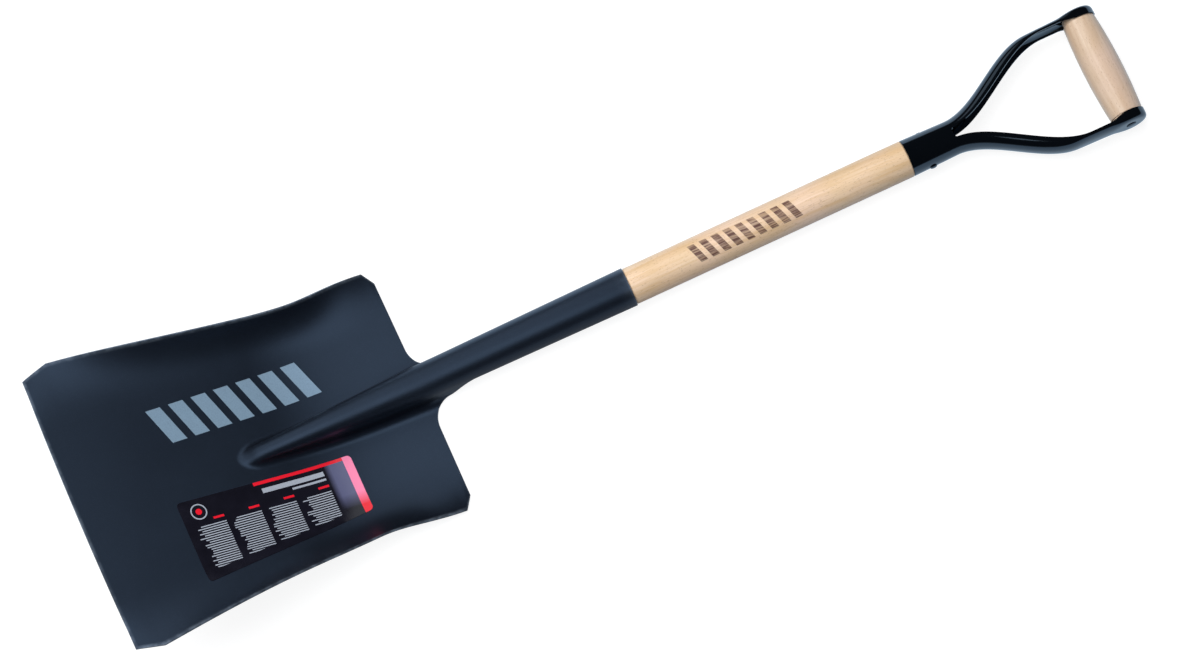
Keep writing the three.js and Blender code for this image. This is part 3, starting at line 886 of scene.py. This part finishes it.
# A rivet: one domed head with half of its shank, set at both ends of the pin
def makeRivetTree(sizes):
    sockets = dict.fromkeys(("Shank Radius", "Head Radius", "Head Height", "Seat"), "Float")
    tree, given = newTree("rivet", dict(sockets, Facets="Int", Finish="Material"))
    seat, headHeight = given["Seat"], given["Head Height"]

    head = output("GeometryNodeMeshCylinder", {
        "Vertices": given["Facets"],
        "Side Segments": 1,
        "Fill Segments": sizes["domeSteps"],
        "Radius": given["Head Radius"],
        "Depth": product(headHeight, sizes["rimShare"]),
    })
    part = split(output("GeometryNodeInputPosition", {}, tree))
    share = calc("DIVIDE", reachOf(part[1], part[0]), given["Head Radius"])
    fall = calc("SUBTRACT", 1, product(share, share))
    dome = product(calc("SQRT", calc("MAXIMUM", fall, 0)), headHeight)
    onTop = calc("GREATER_THAN", part[2], 0)
    lifted = calc("ADD", seat, product(dome, onTop))
    domed = moved(head, combine({0: part[0], 1: part[1], 2: lifted}))
    headClosed = merged(domed, sizes["headMerge"])

    ends = moved(output("GeometryNodeMeshLine", {"Count": 2}, tree), (0, 0, 0))
    turn = combine({0: product(output("GeometryNodeInputIndex", {}, tree), math.pi)})
    placed = {"Points": ends, "Instance": headClosed, "Rotation": turn}
    heads = output("GeometryNodeInstanceOnPoints", placed)
    shank = output("GeometryNodeMeshCylinder", {
        "Vertices": given["Facets"],
        "Radius": given["Shank Radius"],
        "Depth": product(seat, 2),
    })
    both = tree.nodes.new("GeometryNodeJoinGeometry")
    link(heads, both.inputs[0])
    link(shank, both.inputs[0])
    return finishTree(both.outputs[0], given["Finish"])


def runTree(name, tree, inputs, outline=()):
    start = bpy.data.meshes.new(name)
    start.from_pydata([(along, radius, 0) for along, radius in outline], [], [])
    sockets = {item.name: item.identifier for item in tree.interface.items_tree if item.in_out == "INPUT"}

    def setUp(helper):
        modifier = helper.modifiers.new(name, "NODES")
        modifier.node_group = tree
        for key, value in inputs.items():
            modifier[sockets[key]] = value

    return applied(start, setUp)


def turnedMesh(name, outline, facets, material):
    inputs = {"Facets": facets, "Merge Within": sameWithin, "Finish": material}
    return tidyMesh(runTree(name, lathe, inputs, outline))


# Turns a mesh by a quarter round an axis and moves it along the shaft
def setAt(mesh, x, axis):
    mesh.transform(Matrix.Translation((x, 0, 0)) @ Matrix.Rotation(quarterTurn, 4, axis))


# An outline's quarter round, from the side down onto its end
def roundedEnd(end, radius, soft, steps):
    angles = quarterSteps(steps)
    return [(end - soft * (1 - math.sin(angle)), radius - soft * (1 - math.cos(angle))) for angle in angles]


# Shaft
shaftSizes = {
    "radius": 18.0,
    "length": 287.5,
    "inSocket": 178.0,
    "tipRadius": 11.5,
    "tipTaper": 24.0,
    "shoulder": 1.2,
    "tenonEnd": 330.7,
    "chamfer": 1.5,
    "roundSteps": 6,
    "facets": 120,
    "longStep": 12.0,
}


def shaftOutline(sizes):
    gap = overall["clearance"]
    tip = -sizes["inSocket"]
    taper = tip + sizes["tipTaper"]
    mouth = sizes["length"]
    end = sizes["tenonEnd"]
    radius, chamfer, shoulder = sizes["radius"], sizes["chamfer"], sizes["shoulder"]

    def inSocket(x):
        return socketOutside(x) - bladeSizes["sheet"] - gap

    def inFerrule(x):
        return ferruleRadius(x) - yokeSizes["sheet"] - gap

    def rounded(at):
        return roundedEnd(at, radius, shoulder, sizes["roundSteps"])

    outline = [(tip, 0), (tip, sizes["tipRadius"] - chamfer), (tip + chamfer, sizes["tipRadius"])]
    outline += [(taper, inSocket(taper)), (gap, inSocket(0))]
    outline += [(-x, height) for x, height in reversed(rounded(-gap))]
    steps = int(mouth / sizes["longStep"])
    outline += [(x, radius) for x in stepsTo([gap + shoulder], mouth - gap - shoulder, steps)]
    outline += rounded(mouth - gap)
    outline += [(mouth - gap, inFerrule(mouth)), (end - chamfer, inFerrule(end))]
    outline += [(end, inFerrule(end) - chamfer), (end, 0)]
    return outline


# Grip
gripSizes = {
    "halfVisible": 51.4,
    "middleRadius": 18.4,
    "rimRadius": 16.0,
    "seatRadius": 14.8,
    "edgeRound": 3.0,
    "endAt": 59.5,
    "rimRound": 0.8,
    "barrelSteps": 48,
    "roundSteps": 5,
    "facets": 120,
}


def gripOutline(sizes):
    rim = sizes["halfVisible"] - overall["clearance"]
    rimRadius, seatRadius = sizes["rimRadius"], sizes["seatRadius"]
    edge, soft, end = sizes["edgeRound"], sizes["rimRound"], sizes["endAt"]
    half = []
    for share in stepsTo([0.0], 1.0, sizes["barrelSteps"] // 2):
        half.append(((rim - soft) * share, mix(sizes["middleRadius"], rimRadius, share * share)))
    half += roundedEnd(rim, rimRadius, soft, sizes["roundSteps"])
    half += [(rim, seatRadius), (end - edge, seatRadius), (end, seatRadius - edge), (end, 0)]
    return [(-along, radius) for along, radius in half[:0:-1]] + half


# Fasteners
rivetSizes = {
    # Name, node, place along the shaft, and what the tree is given
    "rivets": (
        ("gripRivet", "grip_rivet", 490.3,
            {"Shank Radius": 3.0, "Head Radius": 5.0, "Head Height": 1.1, "Seat": 61.7}),
        ("yokeRivet", "yoke_rivet", 306.5,
            {"Shank Radius": 2.6, "Head Radius": 3.75, "Head Height": 1.7, "Seat": 17.62}),
    ),
    "facets": 40,
    "domeSteps": 10,
    "rimShare": 0.4,
    "headMerge": 0.001,
    "mergeWithin": 0.0001,
}

nailSizes = {
    "at": -32.0,
    "radius": 2.0,
    "head": 4.2,
    "headHeight": 0.8,
    "length": 15.0,
    "rim": 0.15,
    "overSheet": 0.05,
    "domeSteps": 10,
    "facets": 40,
}


def nailOutline(sizes):
    radius, head, rim = sizes["radius"], sizes["head"], sizes["rim"]
    seat = socketOutside(sizes["at"]) + sizes["overSheet"]
    tip = seat - sizes["length"]
    outline = [(tip, 0), (tip + 2 * radius, radius), (seat, radius), (seat, head - rim), (seat + rim, head)]
    for angle in quarterSteps(sizes["domeSteps"])[:-1]:
        outline.append((seat + rim + (sizes["headHeight"] - rim) * math.sin(angle), head * math.cos(angle)))
    return outline + [(seat + sizes["headHeight"], 0)]


# Label
labelSizes = {
    "film": 0.15,
    "seat": 0.12,  # over the sheet's face
    "fromRear": 87.5,
    "length": 174.5,
    "rearNear": 30.0,
    "rearFar": 88.0,
    "mouthNear": 20.0,
    "mouthFar": 102.5,
    "corner": 4.0,
    "alongSteps": 70,
    "acrossSteps": 36,
    "cornerSteps": 10,
    "mergeWithin": 0.0002,
}

labelLook = {
    "shader": {"Specular IOR Level": 0.6},
    "ground": tone(14, 13, 21),
    "groundLight": tone(19, 18, 28),
    "red": tone(222, 26, 44),
    # The next two colours are painted reflection: a pink glare on the red band and a pale violet glare over
    # the rear end
    "bandGlareColour": tone(238, 128, 166),
    "paintedGlareColour": tone(86, 88, 118),
    "print": tone(168, 174, 186),
    "wrinkles": (60, 3),
    "specks": (2200, 2),
    "cover": (0.3, 0.6, 0.7, 0.95),
    "bandWidth": 0.0085,  # of the coloured band at the rear end
    "paintedGlareEnd": (0.022, 0.028, 1, 0),  # where the painted glare behind the band, a pale painted reflection, fades out along the label
    "paintedGlareFade": (0.036, 0.05, 1, 0),  # and across it, as the band's pink painted glare does
    "stripWidth": 0.0032,
    "stripEnd": 0.098,
    "blocks": 4,
    "blocksFrom": 0.03,
    "blockPitch": 0.0352,
    "linePitch": 0.0023,
    "lineFill": 0.44,
    "lineEnds": (0, 1, 0.66, 0.88),
    "linesFrom": 0.0268,
    "linesTo": 0.0505,  # at the rear end, and by spread more toward the mouth
    "spread": 0.125,
    "bars": (0.0212, 0.0234),
    "barShare": 0.3,
    "plainBars": ((0.0075, 0.0122, 0.03, 0.092), (0.0145, 0.0166, 0.03, 0.064)),
    "ringAt": (0.157, 0.013),
    "ring": (0.0066, 0.0078),
    "dot": 0.003,
    "rough": (0.1, 0.18),
    "relief": (0.15, 0.0004),
}


def makeLabelPrint(look):
    material, tree, shader = newMaterial("labelPrint", look["shader"])
    along, across = sheetPlaces(tree)
    place = coordinates(tree)
    wrinkle = noise(place, *look["wrinkles"])
    speck = noise(place, *look["specks"])

    # Blocks of fine lines along the label, each under a small coloured bar
    fromFirst = calc("SUBTRACT", along, look["blocksFrom"])
    blockShare = calc("DIVIDE", fromFirst, look["blockPitch"])
    block = calc("FLOOR", blockShare)
    onBlock = calc("FRACT", blockShare)
    counted = within(block, -0.5, look["blocks"] - 0.5)
    lineShare = calc("DIVIDE", across, look["linePitch"])
    seed = combine({0: block, 1: calc("FLOOR", lineShare)})
    ragged = addNode("ShaderNodeTexWhiteNoise", {0: seed}, noise_dimensions="2D").outputs["Value"]
    written = below(onBlock, ramp(ragged, *look["lineEnds"]))
    inked = below(calc("FRACT", lineShare), look["lineFill"])
    farEdge = calc("MULTIPLY_ADD", along, look["spread"], look["linesTo"])
    lines = product(written, inked, within(across, look["linesFrom"], farEdge), counted)
    bars = product(within(across, *look["bars"]), below(onBlock, look["barShare"]), counted)

    # Two plain bars, and a ring at the mouth end
    plain = [
        product(within(across, low, high), within(along, start, end))
        for low, high, start, end in look["plainBars"]
    ]
    ringAt = look["ringAt"]
    reach = reachOf(calc("SUBTRACT", along, ringAt[0]), calc("SUBTRACT", across, ringAt[1]))
    pale = either(lines, within(reach, *look["ring"]), *plain)

    # Painted reflection: a pale glare over the label's rear end and a pink glare on its red band, both
    # fading out across the label
    near = ramp(across, *look["paintedGlareFade"])
    strip = product(below(across, look["stripWidth"]), below(along, look["stripEnd"]))
    colour = layered(
        look["ground"],
        (ramp(wrinkle, *middleRange), look["groundLight"]),
        (product(ramp(along, *look["paintedGlareEnd"]), near), look["paintedGlareColour"]),
        (product(pale, ramp(speck, *look["cover"])), look["print"]),
        (either(strip, bars, below(reach, look["dot"])), look["red"]),
        (below(along, look["bandWidth"]), blendColours(near, look["red"], look["bandGlareColour"])),
    )
    dress(shader, look, colour, ramp(wrinkle, *middleRange, *look["rough"]), wrinkle)
    return material


def makeLabel(sizes, floorPlace, blankHalf, wingTurn):
    def facePoint(distance, across):
        floorHalf = blankHalf(distance) * bladeSizes["floorShare"]
        wing = max(abs(across) - floorHalf, 0)
        turn = wingTurn(distance) * wing / (blankHalf(distance) - floorHalf)
        chord = wing * math.sin(turn / 2) / (turn / 2) if turn else wing
        y = min(abs(across), floorHalf) + chord * math.cos(turn / 2)
        height = chord * math.sin(turn / 2)
        tilt, x, z = floorPlace(distance)
        return (x + height * math.sin(tilt), math.copysign(y, across), z + height * math.cos(tilt))

    corner, length = sizes["corner"], sizes["length"]
    cornerShare = corner / length
    shares = [cornerShare * (1 - math.cos(angle)) for angle in quarterSteps(sizes["cornerSteps"], 0)[:-1]]
    ends = [1 - share for share in reversed(shares)]
    shares += list(np.linspace(cornerShare, 1 - cornerShare, sizes["alongSteps"] + 1)) + ends
    rows, maps = [], []
    for share in reversed(shares):
        fromEnd = min(share, 1 - share) * length
        inset = corner - math.sqrt(max(corner ** 2 - max(corner - fromEnd, 0) ** 2, 0))
        near = mix(sizes["rearNear"], sizes["mouthNear"], share)
        far = mix(sizes["rearFar"], sizes["mouthFar"], share)
        distance = sizes["fromRear"] + length * share
        row = []
        for j in range(sizes["acrossSteps"] + 1):
            across = mix(near + inset, far - inset, j / sizes["acrossSteps"])
            row.append(facePoint(distance, -across))
            maps.append((length * share * millimetre, (across - near) * millimetre))
        rows.append(row)
    seat = bladeSizes["sheet"] / 2 + sizes["seat"]
    mesh = sheetMesh("labelFilm", [rows], seat + sizes["film"], seat, np.array(maps))
    return tidyMesh(mesh, sizes["mergeWithin"])


print("finishes")
paintFinish = makeBladePaint(bladePaint, bandLook)
shaftFinish = makeBeech("shaftBeech", beechLook, 0.0, burnLook)
gripFinish = makeBeech("gripBeech", gripLook, quarterTurn)
enamelFinish = makeEnamel(enamelLook)
labelFinish = makeLabelPrint(labelLook)

print("blade")
bladeMesh, floorPlace, blankHalf, wingTurnAt = makeBlade(bladeSizes)
addPiece("bladeBody", bladeMesh, paintFinish, "blade_paint", "blade")

print("yoke")
addPiece("yokeShell", makeYoke(yokeSizes), enamelFinish, "yoke_enamel", "yoke")

print("turned wood")
lathe = makeLathe()
shaftMesh = turnedMesh("shaftWood", shaftOutline(shaftSizes), shaftSizes["facets"], shaftFinish)
addPiece("shaftWood", shaftMesh, shaftFinish, "handle_wood", "shaft")
gripMesh = turnedMesh("gripWood", gripOutline(gripSizes), gripSizes["facets"], gripFinish)
setAt(gripMesh, overall["gripAt"], "Z")
addPiece("gripWood", gripMesh, gripFinish, "handle_wood", "grip")

print("fasteners")
rivetTree = makeRivetTree(rivetSizes)
for name, node, at, inputs in rivetSizes["rivets"]:
    mesh = runTree(name, rivetTree, dict(inputs, Facets=rivetSizes["facets"], Finish=enamelFinish))
    mesh = tidyMesh(mesh, rivetSizes["mergeWithin"])
    setAt(mesh, at, "X")
    addPiece(name, mesh, enamelFinish, "yoke_enamel", node)
nailMesh = turnedMesh("socketNail", nailOutline(nailSizes), nailSizes["facets"], paintFinish)
setAt(nailMesh, nailSizes["at"], "Y")
addPiece("socketNail", nailMesh, paintFinish, "blade_paint", "socket_nail")

print("label")
labelMesh = makeLabel(labelSizes, floorPlace, blankHalf, wingTurnAt)
addPiece("labelFilm", labelMesh, labelFinish, "label_film", "product_label")


# Floor, light and camera
studio = {
    "floorHalf": 40.0,
    "floorDrop": 0.0002,
    "floor": {"Base Color": (0.26, 0.26, 0.26, 1), "Roughness": 0.9, "Specular IOR Level": 0.0},
    "floorGlow": 0.86,
    "sheenHigh": (0.6, 0.85, 1.1, 1.0),  # what gloss sees of the floor
    "sheenLow": (0.06, 0.08, 0.1, 1.0),
    "sheenBehind": (-0.03, 0.05),
    "sheenBeside": (0.0, 0.32, 0.0, 0.8),
    "horizon": (0.8, 0.95, 1.1, 1.0),
    "ceiling": (0.035, 0.04, 0.05, 1.0),
    "horizonNear": (0.2, 0.24, 0.28, 1.0),
    "horizonBehind": (-0.5, 0.1),
    "horizonTop": 0.1,
    # Two suns, which gloss doesn't see: direction, strength, angle.
    "suns": (
        ((-0.25, 0.36, 0.9), 2.7, 60 * degree),
        ((0.25, -0.8, 0.5), 0.4, 70 * degree),
    ),
    # Two level boxes end to end over the blade, the near one stronger: place, size, turn, power.
    "softBoxes": (
        ((-0.23, 1.06, 0.9), (0.98, 2.02), -10 * degree, 5.1),
        ((-0.39, -0.27, 0.9), (0.98, 0.74), 16 * degree, 3.1),
    ),
    "softBoxTint": (0.92, 0.97, 1.0),
}


def makeFloor(sizes):
    half, level = sizes["floorHalf"], -sizes["floorDrop"]
    corners = [(-half, -half, level), (half, -half, level), (half, half, level), (-half, half, level)]
    mesh = bpy.data.meshes.new("floor")
    mesh.from_pydata(corners, [], [(0, 1, 2, 3)])
    floor = addObject("floor", mesh)
    material, tree, shader = newMaterial("paleFloor", sizes["floor"])
    ray = addNode("ShaderNodeLightPath", {}, tree).outputs
    seen = either(ray["Is Camera Ray"], ray["Is Glossy Ray"], ray["Is Transmission Ray"])
    part = split(coordinates(tree))
    behind = ramp(part[1], *sizes["sheenBehind"])
    beside = ramp(part[0], *sizes["sheenBeside"])
    sheen = blendColours(calc("MAXIMUM", behind, beside), sizes["sheenLow"], sizes["sheenHigh"])
    glow = blendColours(ray["Is Glossy Ray"], (1, 1, 1, 1), sheen)
    link(glow, shader.inputs["Emission Color"])
    link(product(seen, sizes["floorGlow"]), shader.inputs["Emission Strength"])
    mesh.materials.append(material)


def makeWorld(sizes):
    world = bpy.data.worlds.new("studio")
    scene.world = world
    world.use_nodes = True
    tree = world.node_tree
    sky = tree.nodes["Background"]
    part = split(coordinates(tree, "Generated"))
    inputs = {"Value": part[2], "From Min": 0, "From Max": sizes["horizonTop"]}
    rise = output("ShaderNodeMapRange", inputs, interpolation_type="SMOOTHSTEP")
    behind = ramp(part[1], *sizes["horizonBehind"])
    horizon = blendColours(behind, sizes["horizonNear"], sizes["horizon"])
    link(blendColours(rise, horizon, sizes["ceiling"]), sky.inputs["Color"])


def makeLamps(sizes):
    for direction, strength, angle in sizes["suns"]:
        sun = addObject("sun", bpy.data.lights.new("sun", "SUN"))
        sun.data.energy = strength
        sun.data.angle = angle
        sun.matrix_world = Vector(direction).to_track_quat("Z", "Y").to_matrix().to_4x4()
        sun.visible_glossy = False
    for place, size, turn, power in sizes["softBoxes"]:
        softBox = addObject("softBox", bpy.data.lights.new("softBox", "AREA"))
        softBox.data.energy = power
        softBox.data.shape = "RECTANGLE"
        softBox.data.size, softBox.data.size_y = size
        softBox.data.color = sizes["softBoxTint"]
        softBox.location = place
        softBox.rotation_euler = (0, 0, turn)


# The camera's place and turn, fitted in the shaft's frame
cameraSizes = {
    "imageWidth": 1181,
    "imageHeight": 663,
    "focal": 4040.0,  # in the image's pixels
    "scale": 0.9375,  # millimetres to a pixel at the shaft
    "roll": 24.78 * degree,
    "tip": 15 * degree,
    "lean": 1.35 * degree,
    "mouthX": 630.0,
    "mouthY": 288.0,
    "mouthOff": 1.35,
    "sensor": 36.0,
    "clipEnd": 200,
}


def makeCamera(sizes):
    roll = sizes["roll"]
    leaned = Matrix.Rotation(sizes["lean"], 3, "Y") @ Matrix.Rotation(-sizes["tip"], 3, "X")
    turn = Matrix.Rotation(roll, 3, "Z") @ leaned
    distance = sizes["focal"] * sizes["scale"]
    originX = sizes["mouthX"] - sizes["mouthOff"] * math.sin(roll) - sizes["imageWidth"] / 2
    originY = sizes["imageHeight"] / 2 - sizes["mouthY"] + sizes["mouthOff"] * math.cos(roll)
    offset = Vector((originX * sizes["scale"], originY * sizes["scale"], 0))
    back = turn.transposed()
    place = back @ (Vector((0, 0, distance)) - offset)
    inRow = placeInRow.to_3x3().normalized()
    data = bpy.data.cameras.new("camera")
    data.sensor_width = sizes["sensor"]
    data.lens = sizes["focal"] / sizes["imageWidth"] * sizes["sensor"]
    data.clip_end = sizes["clipEnd"]
    camera = addObject("camera", data)
    camera.matrix_world = Matrix.Translation(placeInRow @ place) @ (inRow @ back).to_4x4()
    scene.camera = camera


print("studio")
makeFloor(studio)
makeWorld(studio)
makeLamps(studio)
makeCamera(cameraSizes)
scene.view_settings.view_transform = "Standard"
